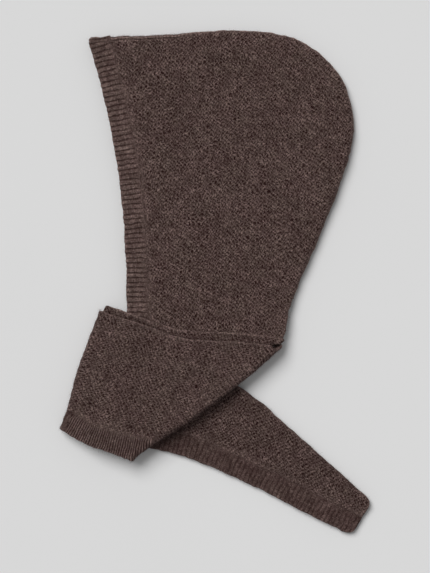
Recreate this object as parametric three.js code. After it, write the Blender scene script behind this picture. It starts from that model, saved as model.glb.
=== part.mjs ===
import * as THREE from "three";

// A knit hood with two long scarf tails. It lies flat on its side, crown toward +Y and face opening
// toward -X. Both tails are folded up over the neck, then turned under and drawn out to the lower right.
// The near half lies on top at the hood and the far half beneath it. Millimetres and degrees, +Z up.

// Knit
const KNIT_THICKNESS = 2.8;
const LAYER_GAP = 0.5; // air between two layers that lie on each other
const PIECE_GAP = 0.4; // between the edges of two pieces that are joined
const BAND_WIDTH = 22;
const RIB_PITCH = 5.1;
const RIB_DEPTH = 0.45;

// Hood, measured from the neck's front corner
const HOOD_HEIGHT = 325;
const HOOD_DEPTH = 237;
const HOOD_HOLLOW = 6; // inside height of the hood as it lies
const FACE_HEIGHT = 318;
const FACE_SWEEP = 41; // how far the face edge leans forward at the crown
const FACE_STRAIGHT = 31; // straight stretch of the face edge above the neck
const NECK_WIDTH = 167;
const NECK_BACK_RISE = 10.5; // the neck's back corner above its front corner
const SEAM_HEIGHT = 2;
const SEAM_PROUD = 0.4;
const FAN_START = 20; // first knit row at the band, below the crown

// The tails as they lie: straight runs of the ribbed edge, and the two folds across the tail
const NECK_DROP = 121;
const NECK_ANGLE = -89;
const FIRST_FOLD_LENGTH = 203;
const FIRST_FOLD_ANGLE = 37.2;
const FIRST_FOLD_BOW = 3;
const OVER_LENGTH = 71.5;
const OVER_ANGLE = 159.8;
const OVER_BOW = 4;
const SECOND_FOLD_LENGTH = 139.5;
const SECOND_FOLD_ANGLE = 70.9;
const SECOND_FOLD_BOW = 4.5;
const TAIL_LENGTH = 318;
const TAIL_ANGLE = -19.7;
const TIP_WIDTH = 42;
const TIP_ANGLE = 58.3;
const TIP_RADIUS = 9;
const FAR_STEP_NECK = 14; // the far tail's plain edge stays this much short of the near one's
const FAR_STEP_TURN = 8;
const FAR_STEP_TIP = 1;
const LIFT_CLEARANCE = 6; // the hood is fully raised this far before it meets the folded tail
const LIFT_RUN = 36; // length of the slope that raises it
const FACE_CLEARANCE = 5; // the folded tail stays high this far past the face edge
const LEAN_RUN = 30; // length in which the ribs turn from a fold's direction to square

// Outline of the crown and back, as shares of HOOD_DEPTH and HOOD_HEIGHT
const OUTLINE = [
  { back: 0.155, up: 0.986 },
  { back: 0.482, up: 1.0 },
  { back: 0.646, up: 0.99 },
  { back: 0.779, up: 0.961 },
  { back: 0.885, up: 0.903 },
  { back: 0.951, up: 0.839 },
  { back: 0.991, up: 0.752 },
  { back: 1.0, up: 0.677 },
  { back: 0.973, up: 0.581 },
  { back: 0.912, up: 0.452 },
  { back: 0.841, up: 0.323 },
  { back: 0.765, up: 0.194 },
  { back: 0.721, up: 0.103 },
];

// How far the tail's two edges curve off their straight lines, as shares of TAIL_LENGTH
const TAIL_CURVE = [
  { along: 0, rib: 0, plain: 0 },
  { along: 0.25, rib: 0.04, plain: 0.026 },
  { along: 0.4, rib: 0.058, plain: 0.04 },
  { along: 0.55, rib: 0.053, plain: 0.045 },
  { along: 0.7, rib: 0.036, plain: 0.03 },
  { along: 0.85, rib: 0.017, plain: 0.014 },
  { along: 1, rib: 0, plain: 0 },
];

// Where each half lies in the stack, counted in layers from the surface beneath
const HALVES = {
  near: { side: 1, neck: 3, over: 4, turned: 2, tail: 1, colour: 0x4a3b37 },
  far: { side: -1, neck: 2, over: 5, turned: 3, tail: 0, colour: 0x463834 },
};
const LAYERS_BENEATH = 2; // tail layers that the neck lies on

// Fineness of the faceted sheets
const HOOD_ROWS = 28;
const FLAT_COLUMNS = 6;
const RIM_COLUMNS = 4;
const ROLL_STEPS = 6;
const NECK_SHARES = [0, 0.35, 0.7];
const NECK_ROW_SHARE = 0.25; // where the row from the neck's front corner ends on the plain edge
const OVER_SHARES = [0.2, 0.4, 0.55, 0.68, 0.78, 0.85, 0.9, 0.93, 0.955, 0.98];
const TAIL_ROWS = 12;
const TIP_STEPS = 4;
const FAN_LAG = 1.6; // rows start close together at the crown end of the band

const { degToRad, lerp, smoothstep } = THREE.MathUtils;
const PITCH = KNIT_THICKNESS + LAYER_GAP;
const INSET = BAND_WIDTH + PIECE_GAP;
const RIM_RADIUS = (KNIT_THICKNESS + HOOD_HOLLOW) / 2;
const RIM_REACH = RIM_RADIUS + KNIT_THICKNESS / 2;
const SEAM_HALF_ANGLE = Math.asin(SEAM_HEIGHT / 2 / RIM_RADIUS);
const RIM_ANGLE = Math.PI / 2 - SEAM_HALF_ANGLE - PIECE_GAP / RIM_RADIUS;
const RIM_LENGTH = RIM_RADIUS * RIM_ANGLE;

// Plan geometry

function plan(x, y) {
  return new THREE.Vector2(x, y);
}

function along(start, length, angle) {
  return plan(start.x + length * Math.cos(degToRad(angle)), start.y + length * Math.sin(degToRad(angle)));
}

function between(a, b, share) {
  return a.clone().lerp(b, share);
}

function direction(a, b) {
  return b.clone().sub(a).normalize();
}

// A direction turned a quarter to the left (hand 1) or to the right (hand -1).
function square(way, hand) {
  return plan(-way.y * hand, way.x * hand);
}

function shifted(point, way, distance) {
  return point.clone().addScaledVector(way, distance);
}

// The point at a square distance from an edge, on the line that leaves the edge in the given direction.
function insetPoint(edge, edgeWay, way, distance) {
  return shifted(edge, way, distance / Math.abs(edgeWay.cross(way)));
}

// A smooth curve through one column of a table, read at a share of the length.
function fromTable(rows, share, column) {
  const past = rows.findIndex((row) => row.along > share);
  const place = past < 0 ? rows.length - 2 : Math.max(0, past - 1);
  const [a, b] = [rows[place], rows[place + 1]];
  const before = rows[Math.max(0, place - 1)];
  const after = rows[Math.min(rows.length - 1, place + 2)];
  const span = b.along - a.along;
  const t = (share - a.along) / span;
  const slopeA = ((b[column] - before[column]) / (b.along - before.along)) * span;
  const slopeB = ((after[column] - a[column]) / (after.along - a.along)) * span;
  const rise = b[column] - a[column];
  return a[column] + t * slopeA + t ** 2 * (3 * rise - 2 * slopeA - slopeB) + t ** 3 * (slopeA + slopeB - 2 * rise);
}

// The face edge, and where it meets the crown

function facePoint(height) {
  const lean = Math.max(0, (height - FACE_STRAIGHT) / (FACE_HEIGHT - FACE_STRAIGHT));
  return plan(-FACE_SWEEP * lean ** 2, height);
}

function faceWay(height) {
  return direction(facePoint(height + 1), facePoint(height - 1));
}

const neckFront = facePoint(0);
const neckBack = plan(NECK_WIDTH, NECK_BACK_RISE);
const faceTop = facePoint(FACE_HEIGHT);
const outline = new THREE.CatmullRomCurve3(
  [faceTop, ...OUTLINE.map((row) => plan(row.back * HOOD_DEPTH, row.up * HOOD_HEIGHT)), neckBack].map(
    (point) => new THREE.Vector3(point.x, point.y, 0),
  ),
  false,
  "centripetal",
);
outline.arcLengthDivisions = 800;

function outlinePoint(share) {
  const point = outline.getPointAt(share);
  return plan(point.x, point.y);
}

function outlineOut(share) {
  const way = outline.getTangentAt(share);
  return square(plan(way.x, way.y), 1);
}

const crownWay = direction(faceTop, outlinePoint(0.1));
const crownUp = square(crownWay, 1);

// The folds and runs of the tail

const foldFront = along(neckFront, NECK_DROP, NECK_ANGLE);
const foldBack = along(foldFront, FIRST_FOLD_LENGTH, FIRST_FOLD_ANGLE);
const turnFront = along(foldFront, OVER_LENGTH, OVER_ANGLE);
const turnBack = along(turnFront, SECOND_FOLD_LENGTH, SECOND_FOLD_ANGLE);
const tipFront = along(turnFront, TAIL_LENGTH, TAIL_ANGLE);
const tipBack = along(tipFront, TIP_WIDTH, TIP_ANGLE);
const foldOut = square(direction(foldFront, foldBack), -1);
const turnOut = square(direction(turnFront, turnBack), 1);
const firstBow = plan(0, 0).addScaledVector(foldOut, FIRST_FOLD_BOW);
const secondBow = plan(0, 0).addScaledVector(turnOut, SECOND_FOLD_BOW);
const overOut = square(direction(foldFront, turnFront), 1);
const tailRise = square(direction(turnFront, tipFront), 1);
const tailRiseBack = square(direction(turnBack, tipBack), 1);

// Each run gives the ribbed edge and the plain edge at a share of its length. The hand is the side on
// which the knit lies as seen along the ribbed edge, and it changes at each fold.
const RUNS = {
  neck: {
    hand: 1,
    length: NECK_DROP,
    rib: (share) => between(neckFront, foldFront, share),
    plain: (share) => between(neckBack, foldBack, lerp(NECK_ROW_SHARE, 1, share)),
  },
  over: {
    hand: -1,
    length: OVER_LENGTH,
    rib: (share) => shifted(between(foldFront, turnFront, share), overOut, OVER_BOW * 4 * share * (1 - share)),
    plain: (share) => between(foldBack, turnBack, share),
  },
  tail: {
    hand: 1,
    length: TAIL_LENGTH,
    rib: (share) =>
      shifted(between(turnFront, tipFront, share), tailRise, TAIL_LENGTH * fromTable(TAIL_CURVE, share, "rib")),
    plain: (share) =>
      shifted(between(turnBack, tipBack, share), tailRiseBack, TAIL_LENGTH * fromTable(TAIL_CURVE, share, "plain")),
  },
};

function ribWay(run, share) {
  return direction(run.rib(Math.max(0, share - 0.01)), run.rib(Math.min(1, share + 0.01)));
}

// Heights of the cloth's middle

function level(layers) {
  return KNIT_THICKNESS / 2 + layers * PITCH;
}

// How far the hood is raised at a point, from 0 on the flat to 1 over the tail beneath.
function liftAt(point) {
  const way = direction(turnBack, foldBack);
  const above = way.cross(point.clone().sub(turnBack)) - LIFT_CLEARANCE;
  return 1 - smoothstep(above, 0, LIFT_RUN);
}

function hoodHeight(half, point) {
  const lift = liftAt(point);
  const apart = lerp(KNIT_THICKNESS + HOOD_HOLLOW, PITCH, lift);
  return level(LAYERS_BENEATH * lift) + (half.side > 0 ? apart : 0);
}

// How far the folded tail has come down past the face edge, from 0 to 1 at the second fold.
function sinkAt(point) {
  const past = -FACE_CLEARANCE - point.x;
  const left = Math.max(0, direction(turnFront, turnBack).cross(turnFront.clone().sub(point)));
  return past > 0 ? smoothstep(past / (past + left), 0, 1) : 0;
}

function overHeight(half, point) {
  return level(lerp(half.over, half.turned, sinkAt(point)));
}

// Thick sheets

// A closed sheet from rows of middle points, each with the way from there to its outer face.
function sheetGeometry(rows, side) {
  const columns = rows[0].length;
  const corners = rows.flat().flatMap(({ mid, out }) => [mid.clone().add(out), mid.clone().sub(out)]);
  const outer = (row, column) => 2 * (row * columns + column);
  const index = [];
  const triangle = (a, b, c) => index.push(...(side > 0 ? [a, b, c] : [a, c, b]));
  for (let row = 0; row + 1 < rows.length; row += 1) {
    for (let column = 0; column + 1 < columns; column += 1) {
      const [a, b] = [outer(row, column), outer(row + 1, column)];
      const [c, d] = [outer(row + 1, column + 1), outer(row, column + 1)];
      triangle(a, b, c);
      triangle(a, c, d);
      triangle(a + 1, c + 1, b + 1);
      triangle(a + 1, d + 1, c + 1);
    }
  }
  const last = rows.length - 1;
  const rim = [
    ...rows.map((_, row) => outer(row, 0)),
    ...rows[last].slice(1).map((_, column) => outer(last, column + 1)),
    ...rows.slice(1).map((_, row) => outer(last - 1 - row, columns - 1)),
    ...rows[0].slice(2).map((_, column) => outer(0, columns - 2 - column)),
  ];
  rim.forEach((a, place) => {
    const b = rim[(place + 1) % rim.length];
    triangle(a, a + 1, b + 1);
    triangle(a, b + 1, b);
  });
  return new THREE.BufferGeometry().setFromPoints(corners).setIndex(index);
}

// One point of a flat sheet. Face is 1 where the outer face looks up and -1 where it looks down.
function flatPoint(point, height, face, halfThickness = KNIT_THICKNESS / 2) {
  return {
    mid: new THREE.Vector3(point.x, point.y, height),
    out: new THREE.Vector3(0, 0, face * halfThickness),
  };
}

// One point on a roll about a level axis, the given angle above the plan direction away from the axis.
function rollPoint(point, axisHeight, away, radius, angle, outward) {
  const arm = new THREE.Vector3(away.x * Math.cos(angle), away.y * Math.cos(angle), Math.sin(angle));
  return {
    mid: new THREE.Vector3(point.x, point.y, axisHeight).addScaledVector(arm, radius),
    out: arm.multiplyScalar((outward * KNIT_THICKNESS) / 2),
  };
}

// A fold's roll: its rows from the lower layer to the upper one, or back if down is true.
function foldRows(half, lower, upper, away, lineAt, down) {
  const radius = ((upper - lower) * PITCH) / 2;
  const axisHeight = level((upper + lower) / 2);
  return Array.from({ length: ROLL_STEPS + 1 }, (_, step) => {
    const share = step / ROLL_STEPS;
    const angle = Math.PI * (down ? 0.5 - share : share - 0.5);
    return lineAt(share).map((point) => rollPoint(point, axisHeight, away, radius, angle, -half.side));
  });
}

// Panels

// Column points from the band toward the plain edge, ending short of it, on a line that may bow sideways.
// The last columns lie on the strip that curls at the hood. Both halves have the columns before it alike.
function acrossPoints(inner, plain, short, farStep, bow) {
  const full = inner.distanceTo(plain);
  const split = full - farStep - RIM_LENGTH;
  const reaches = [];
  for (let column = 0; column <= FLAT_COLUMNS; column += 1) {
    reaches.push((split * column) / FLAT_COLUMNS);
  }
  for (let column = 1; column <= RIM_COLUMNS; column += 1) {
    reaches.push(lerp(split, full - short, column / RIM_COLUMNS));
  }
  return reaches.map((reach) => {
    const share = reach / full;
    return between(inner, plain, share).addScaledVector(bow, 4 * share * (1 - share));
  });
}

// Where the hood's rows meet the outline: the axis of the curled rim and the way out of it.
const rimTop = facePoint(FACE_HEIGHT - RIM_REACH);
const bandTopInner = insetPoint(rimTop, faceWay(FACE_HEIGHT), crownWay, BAND_WIDTH);
const panelStart = shifted(shifted(bandTopInner, crownUp, RIM_REACH), crownWay, PIECE_GAP);
const startShare = panelStart.distanceTo(faceTop) / outline.getLength();

// The row's start on the band, from below the crown to the row that the folded tail covers.
function rowStart(share) {
  const way = direction(turnBack, foldBack);
  const reach = (INSET - turnBack.x) / way.x;
  const lowest = turnBack.y + way.y * reach + LIFT_CLEARANCE / way.x;
  const height = lerp(FACE_HEIGHT - FAN_START, lowest, share ** FAN_LAG);
  return shifted(facePoint(height), square(faceWay(height), 1), INSET);
}

const hoodRows = Array.from({ length: HOOD_ROWS + 1 }, (_, row) => {
  const share = row / HOOD_ROWS;
  const outlineShare = lerp(startShare, 1, share);
  const end = outlinePoint(outlineShare);
  const away = outlineOut(outlineShare);
  const curl = RIM_ANGLE * (1 - liftAt(end)) ** 2;
  const advance = curl > 0 ? (RIM_LENGTH * Math.sin(curl)) / curl : RIM_LENGTH;
  const axis = shifted(end, away, -advance - (KNIT_THICKNESS / 2) * Math.sin(curl));
  return { inner: rowStart(share), axis, away, curl, raised: liftAt(end) > 0 };
});

function hoodPanelRow(half, row) {
  const points = [];
  for (let column = 0; column <= FLAT_COLUMNS; column += 1) {
    const point = between(row.inner, row.axis, column / FLAT_COLUMNS);
    points.push(flatPoint(point, hoodHeight(half, point), half.side));
  }
  const height = hoodHeight(half, row.axis);
  for (let column = 1; column <= RIM_COLUMNS; column += 1) {
    const share = column / RIM_COLUMNS;
    const angle = row.curl * share;
    const radius = row.curl > 0 ? RIM_LENGTH / row.curl : 0;
    const reach = row.curl > 0 ? radius * Math.sin(angle) : RIM_LENGTH * share;
    const point = shifted(row.axis, row.away, reach);
    const drop = half.side * radius * (1 - Math.cos(angle));
    const lean = (Math.sin(angle) * KNIT_THICKNESS) / 2;
    points.push({
      mid: new THREE.Vector3(point.x, point.y, height - drop),
      out: new THREE.Vector3(
        row.away.x * lean,
        row.away.y * lean,
        (half.side * Math.cos(angle) * KNIT_THICKNESS) / 2,
      ),
    });
  }
  return points;
}

function panelInner(run, share) {
  const rib = run.rib(share);
  return insetPoint(rib, ribWay(run, share), direction(rib, run.plain(share)), INSET);
}

function runPanelRow(half, run, share, farStep, height, face, bow, cut = 0) {
  const short = (half.side > 0 ? 0 : farStep) + cut;
  const points = acrossPoints(panelInner(run, share), run.plain(share), short, farStep + cut, bow);
  return points.map((point) => flatPoint(point, height(point), face));
}

// A fold's line on a panel, as its inner end moves from the run before the fold to the run after it.
function panelFoldLine(half, before, after, farStep, bow) {
  return (share) => {
    const inner = between(panelInner(before, 1), panelInner(after, 0), share);
    return acrossPoints(inner, after.plain(0), half.side > 0 ? 0 : farStep, farStep, bow);
  };
}

function panelRows(half) {
  const { neck, over, tail } = RUNS;
  const rows = hoodRows.map((row) => hoodPanelRow(half, row));
  NECK_SHARES.forEach((share) => {
    const bow = firstBow.clone().multiplyScalar(share);
    rows.push(runPanelRow(half, neck, share, FAR_STEP_NECK * share, () => level(half.neck), half.side, bow));
  });
  const firstLine = panelFoldLine(half, neck, over, FAR_STEP_NECK, firstBow);
  rows.push(...foldRows(half, half.neck, half.over, foldOut, firstLine, false));
  OVER_SHARES.forEach((share) => {
    const farStep = lerp(FAR_STEP_NECK, FAR_STEP_TURN, share);
    const height = (point) => overHeight(half, point);
    rows.push(runPanelRow(half, over, share, farStep, height, -half.side, between(firstBow, secondBow, share)));
  });
  const secondLine = panelFoldLine(half, over, tail, FAR_STEP_TURN, secondBow);
  rows.push(...foldRows(half, half.tail, half.turned, turnOut, secondLine, true));
  const tipShare = 1 - TIP_RADIUS / TAIL_LENGTH;
  for (let row = 1; row < TAIL_ROWS; row += 1) {
    const share = (tipShare * row) / TAIL_ROWS;
    const farStep = lerp(FAR_STEP_TURN, FAR_STEP_TIP, share);
    const bow = secondBow.clone().multiplyScalar(1 - share / tipShare);
    rows.push(runPanelRow(half, tail, share, farStep, () => level(half.tail), half.side, bow));
  }
  for (let step = 0; step <= TIP_STEPS; step += 1) {
    const angle = (Math.PI / 2) * (step / TIP_STEPS);
    const share = lerp(tipShare, 1, Math.sin(angle));
    const farStep = lerp(FAR_STEP_TURN, FAR_STEP_TIP, share);
    const cut = TIP_RADIUS * (1 - Math.cos(angle));
    rows.push(runPanelRow(half, tail, share, farStep, () => level(half.tail), half.side, plan(0, 0), cut));
  }
  return rows;
}

// Rib bands

// Stations at every half rib from crest to crest, so each run holds whole ribs.
function ribStations(length) {
  const count = 2 * Math.max(1, Math.round(length / RIB_PITCH));
  return Array.from({ length: count + 1 }, (_, place) => ({
    share: place / count,
    halfThickness: KNIT_THICKNESS / 2 - (place % 2 ? RIB_DEPTH : 0),
  }));
}

// The direction across the band: square to its edge, but along a fold or end that is near.
function bandWay(edgeWay, hand, distance, length, startWay, endWay) {
  const straight = square(edgeWay, hand);
  const way = between(startWay, straight, smoothstep(distance, 0, LEAN_RUN));
  return between(endWay, way, smoothstep(length - distance, 0, LEAN_RUN)).normalize();
}

function runBandRows(run, half, height, face, startWay, endWay, tipRadius = 0) {
  return ribStations(run.length).map(({ share, halfThickness }) => {
    const edge = run.rib(share);
    const edgeWay = ribWay(run, share);
    const distance = share * run.length;
    const way = bandWay(edgeWay, run.hand, distance, run.length, startWay, endWay);
    const fromTip = Math.max(0, tipRadius - (run.length - distance));
    const cut = tipRadius - Math.sqrt(tipRadius ** 2 - fromTip ** 2);
    const ends = [shifted(edge, way, cut), insetPoint(edge, edgeWay, way, BAND_WIDTH)];
    return ends.map((point) => flatPoint(point, height(point), face, halfThickness));
  });
}

function bandFoldLine(before, after, way) {
  return (share) => {
    const ends = [
      [before, 1],
      [after, 0],
    ].map(([run, place]) => insetPoint(run.rib(place), ribWay(run, place), way, BAND_WIDTH));
    return [after.rib(0), between(ends[0], ends[1], share)];
  };
}

function bandRows(half) {
  const { neck, over, tail } = RUNS;
  const foldWay = direction(foldFront, foldBack);
  const turnWay = direction(turnFront, turnBack);
  const tipWay = direction(tipFront, tipBack);
  const rows = [];
  for (let step = RIM_COLUMNS; step > 0; step -= 1) {
    const angle = Math.PI / 2 - (RIM_ANGLE * step) / RIM_COLUMNS;
    const axisHeight = level(0) + RIM_RADIUS;
    rows.push(
      [rimTop, bandTopInner].map((point) =>
        rollPoint(point, axisHeight, crownUp, RIM_RADIUS, half.side * angle, 1),
      ),
    );
  }
  const face = {
    hand: 1,
    length: FACE_HEIGHT - RIM_REACH,
    rib: (share) => facePoint((FACE_HEIGHT - RIM_REACH) * (1 - share)),
  };
  const squareWay = square(faceWay(0), 1);
  const hoodAt = (point) => hoodHeight(half, point);
  rows.push(...runBandRows(face, half, hoodAt, half.side, crownWay, squareWay));
  rows.push(...runBandRows(neck, half, hoodAt, half.side, squareWay, foldWay).slice(1, -1));
  const firstLine = bandFoldLine(neck, over, foldWay);
  rows.push(...foldRows(half, half.neck, half.over, foldOut, firstLine, false));
  const overAt = (point) => overHeight(half, point);
  rows.push(...runBandRows(over, half, overAt, -half.side, foldWay, turnWay).slice(1, -1));
  const secondLine = bandFoldLine(over, tail, turnWay);
  rows.push(...foldRows(half, half.tail, half.turned, turnOut, secondLine, true));
  const tailAt = () => level(half.tail);
  rows.push(...runBandRows(tail, half, tailAt, half.side, turnWay, tipWay, TIP_RADIUS).slice(1));
  return rows;
}

// The seam between the halves: a ridge that fills the wedge between their curled rims.
function seamRows() {
  const stations = [
    { axis: rimTop, away: crownUp },
    { axis: bandTopInner, away: crownUp },
    ...hoodRows.filter((row) => !row.raised),
  ];
  const inside = RIM_RADIUS - KNIT_THICKNESS / 2;
  const outside = RIM_RADIUS + KNIT_THICKNESS / 2 + SEAM_PROUD;
  const axisHeight = level(0) + RIM_RADIUS;
  return stations.map(({ axis, away }) =>
    [inside, outside].map((radius) => {
      const reach = radius * Math.cos(SEAM_HALF_ANGLE);
      const point = shifted(axis, away, reach);
      return {
        mid: new THREE.Vector3(point.x, point.y, axisHeight),
        out: new THREE.Vector3(0, 0, radius * Math.sin(SEAM_HALF_ANGLE)),
      };
    }),
  );
}

// The object

function knitMesh(name, rows, side, colour) {
  const geometry = sheetGeometry(rows, side).toNonIndexed();
  geometry.computeVertexNormals();
  const material = new THREE.MeshStandardMaterial({ color: colour, roughness: 0.95, metalness: 0 });
  const mesh = new THREE.Mesh(geometry, material);
  mesh.name = name;
  return mesh;
}

const hood = new THREE.Group();
Object.entries(HALVES).forEach(([name, half]) => {
  hood.add(knitMesh("hood_panel_" + name, panelRows(half), half.side, half.colour));
  hood.add(knitMesh("rib_band_" + name, bandRows(half), half.side, half.colour));
});
hood.add(knitMesh("centre_seam", seamRows(), 1, HALVES.far.colour));

// The frame's origin is the middle of the laid object's outline, on the surface that it lies on.
const bounds = new THREE.Box3().setFromObject(hood);
const middle = bounds.getCenter(new THREE.Vector3());
hood.position.set(-middle.x, -middle.y, -bounds.min.z);

export default hood;
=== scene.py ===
"""A knit hood with two long scarf tails, laid flat on its side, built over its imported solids."""

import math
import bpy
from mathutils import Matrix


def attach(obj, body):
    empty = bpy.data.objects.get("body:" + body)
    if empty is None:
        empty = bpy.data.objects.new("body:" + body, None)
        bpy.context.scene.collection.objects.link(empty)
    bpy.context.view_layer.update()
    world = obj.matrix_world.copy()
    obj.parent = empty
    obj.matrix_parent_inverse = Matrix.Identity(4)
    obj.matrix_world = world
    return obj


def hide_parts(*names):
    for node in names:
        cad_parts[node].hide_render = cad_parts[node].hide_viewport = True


bl_info = {
    "name": "Knit Hood with Scarf Tails",
    "version": (1, 0, 0),
    "blender": (4, 5, 0),
    "location": "3D View > Sidebar > Knit Hood",
    "description": "Builds a laid knit hood with ribbed edges, folded tails, nap and a plain stage",
    "category": "Add Mesh",
}

import bmesh
import bpy
import numpy as np
from mathutils import Vector

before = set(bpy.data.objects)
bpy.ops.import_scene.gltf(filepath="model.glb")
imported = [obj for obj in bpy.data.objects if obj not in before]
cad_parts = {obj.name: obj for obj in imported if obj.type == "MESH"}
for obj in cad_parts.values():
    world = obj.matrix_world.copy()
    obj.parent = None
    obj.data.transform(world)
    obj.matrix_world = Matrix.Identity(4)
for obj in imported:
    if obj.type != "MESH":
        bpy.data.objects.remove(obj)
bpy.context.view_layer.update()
BODY = "root"

# The lengths below are millimetres from the neck's front corner, as in the part's source.
# The last step moves them to the frame's origin and turns them into metres.
ORIGIN = (-91.0, -62.51)
MM = 0.001

THICKNESS = 2.8
LAYER_PITCH = 3.3
BAND_WIDTH = 22.0
RIB_PITCH = 5.1
JOIN_GAP = 0.12  # between the ribbing and the plain knit that it is knitted to

HOOD_HEIGHT = 325.0
HOOD_DEPTH = 237.8
HOOD_HOLLOW = 6.0
FACE_HEIGHT = 318.0
FACE_SWEEP = 42.0
FACE_SWEEP_POWER = 2.2
FACE_STRAIGHT = 31.0
NECK_WIDTH = 167.0
NECK_BACK_RISE = 10.5
SEAM_HEIGHT = 2.0
SEAM_PROUD = 0.4
FAN_START = 20.0
FAN_LAG = 1.6

NECK_DROP = 121.0
NECK_ANGLE = -89.0
FIRST_FOLD_LENGTH = 203.0
FIRST_FOLD_ANGLE = 37.2
FIRST_FOLD_BOW = 4.2
OVER_LENGTH = 71.5
OVER_ANGLE = 159.8
OVER_BOW = 4.0
SECOND_FOLD_LENGTH = 139.5
SECOND_FOLD_ANGLE = 70.9
SECOND_FOLD_BOW = 2.8
TAIL_LENGTH = 320.5
TAIL_ANGLE = -20.0
TIP_WIDTH = 42.0
TIP_ANGLE = 58.3
TIP_RADIUS = 9.0
FAR_STEP_NECK = 14.0
FAR_STEP_TURN = 8.0
FAR_STEP_TIP = 1.0
LIFT_CLEARANCE = 6.0
LIFT_RUN = 36.0
FACE_CLEARANCE = 5.0
LEAN_RUN = 30.0
NECK_ROW_SHARE = 0.25
LAYERS_BENEATH = 2

# The crown and back, as shares of the hood's depth and height
OUTLINE = [
    (0.155, 0.986), (0.482, 1.0), (0.646, 0.99), (0.779, 0.961), (0.885, 0.903), (0.951, 0.839),
    (0.991, 0.752), (1.0, 0.677), (0.973, 0.581), (0.912, 0.452), (0.841, 0.323), (0.765, 0.194),
    (0.721, 0.103),
]

# Places along the tail, and how far its ribbed and its plain edge curve off a straight line there, all as
# shares of its length
TAIL_CURVE = np.array([
    (0, 0, 0), (0.25, 0.038, 0.026), (0.4, 0.055, 0.038), (0.55, 0.05, 0.043), (0.7, 0.036, 0.029),
    (0.85, 0.016, 0.014), (1, 0, 0),
])

# The half's side of the hood, and the layer that it lies in at each stretch of the tail
HALVES = {
    "near": {"side": 1, "neck": 3, "over": 4, "turned": 2, "tail": 1},
    "far": {"side": -1, "neck": 2, "over": 5, "turned": 3, "tail": 0},
}

RIM_RADIUS = (THICKNESS + HOOD_HOLLOW) / 2
RIM_REACH = RIM_RADIUS + THICKNESS / 2
SEAM_HALF_ANGLE = math.asin(SEAM_HEIGHT / 2 / RIM_RADIUS)
RIM_ANGLE = math.pi / 2 - SEAM_HALF_ANGLE - 0.4 / RIM_RADIUS
RIM_LENGTH = RIM_RADIUS * RIM_ANGLE
INSET = BAND_WIDTH + JOIN_GAP

# Spacing of the fine sheets' rows and columns at a cut edge, where the knit rounds over
EDGE_STEPS = np.array([0.0, 0.18, 0.45, 0.85, 1.4])
SQUARE_RUN = 0.05  # a square end takes its thickness over this length


# Plan geometry


def lerp(a, b, share):
    return a + (b - a) * share


def smoothstep(value, low, high):
    share = np.clip((value - low) / (high - low), 0, 1)
    return share * share * (3 - 2 * share)


def unit(vectors):
    return vectors / np.linalg.norm(vectors, axis=-1, keepdims=True)


def cross(a, b):
    return a[..., 0] * b[..., 1] - a[..., 1] * b[..., 0]


def square(way, hand):
    """A direction turned a quarter to the left (hand 1) or to the right (hand -1)."""
    return np.stack([-way[..., 1] * hand, way[..., 0] * hand], -1)


def along(start, length, degrees):
    angle = math.radians(degrees)
    return start + length * np.array([math.cos(angle), math.sin(angle)])


def column(values):
    return np.asarray(values, float)[..., None]


def inset_point(edge, edge_way, way, distance):
    """The point at a square distance from an edge, on the line that leaves it in the given direction."""
    return edge + way * column(distance / np.abs(cross(edge_way, way)))


def cubic(start, end, slope_a, slope_b, t):
    """The smooth curve between two values with a slope at each."""
    rise = end - start
    bend = slope_a + slope_b - 2 * rise
    return start + t * slope_a + t**2 * (rise - slope_a - bend) + t**3 * bend


def from_table(share, place):
    """A smooth curve through one column of the tail's table."""
    shares, values = TAIL_CURVE[:, 0], TAIL_CURVE[:, place]
    last = len(shares) - 1
    start = np.clip(np.searchsorted(shares, share, side="right") - 1, 0, last - 1)
    before, after = np.maximum(start - 1, 0), np.minimum(start + 2, last)
    span = shares[start + 1] - shares[start]
    t = (share - shares[start]) / span
    slope_a = (values[start + 1] - values[before]) / (shares[start + 1] - shares[before]) * span
    slope_b = (values[after] - values[start]) / (shares[after] - shares[start]) * span
    return cubic(values[start], values[start + 1], slope_a, slope_b, t)


def face_point(height):
    lean = np.maximum(0, (height - FACE_STRAIGHT) / (FACE_HEIGHT - FACE_STRAIGHT))
    return np.stack([-FACE_SWEEP * lean**FACE_SWEEP_POWER, height * np.ones_like(lean)], -1)


def face_way(height):
    return unit(face_point(height - 1) - face_point(height + 1))


class Outline:
    """The crown and back as one smooth curve, read at a share of its length."""

    def __init__(self, points, samples_each=300):
        points = np.asarray(points, float)
        ends = [2 * points[0] - points[1], 2 * points[-1] - points[-2]]
        knots = np.vstack([ends[0], points, ends[1]])
        t = np.linspace(0, 1, samples_each, endpoint=False)[:, None]
        curve = [self.stretch(knots[i : i + 4], t) for i in range(len(points) - 1)]
        self.points = np.vstack([*curve, points[-1:]])
        steps = np.linalg.norm(np.diff(self.points, axis=0), axis=1)
        self.length = steps.sum()
        self.shares = np.concatenate([[0], np.cumsum(steps)]) / self.length
        self.ways = unit(np.gradient(self.points, axis=0))

    @staticmethod
    def stretch(knots, t):
        gaps = np.linalg.norm(np.diff(knots, axis=0), axis=1) ** 0.5
        a, b, c, d = knots
        slope_b = ((b - a) / gaps[0] - (c - a) / (gaps[0] + gaps[1]) + (c - b) / gaps[1]) * gaps[1]
        slope_c = ((c - b) / gaps[1] - (d - b) / (gaps[1] + gaps[2]) + (d - c) / gaps[2]) * gaps[1]
        return cubic(b, c, slope_b, slope_c, t)

    def read(self, values, share):
        return np.stack([np.interp(share, self.shares, values[:, i]) for i in (0, 1)], -1)

    def point(self, share):
        return self.read(self.points, share)

    def out(self, share):
        return square(unit(self.read(self.ways, share)), 1)


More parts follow.
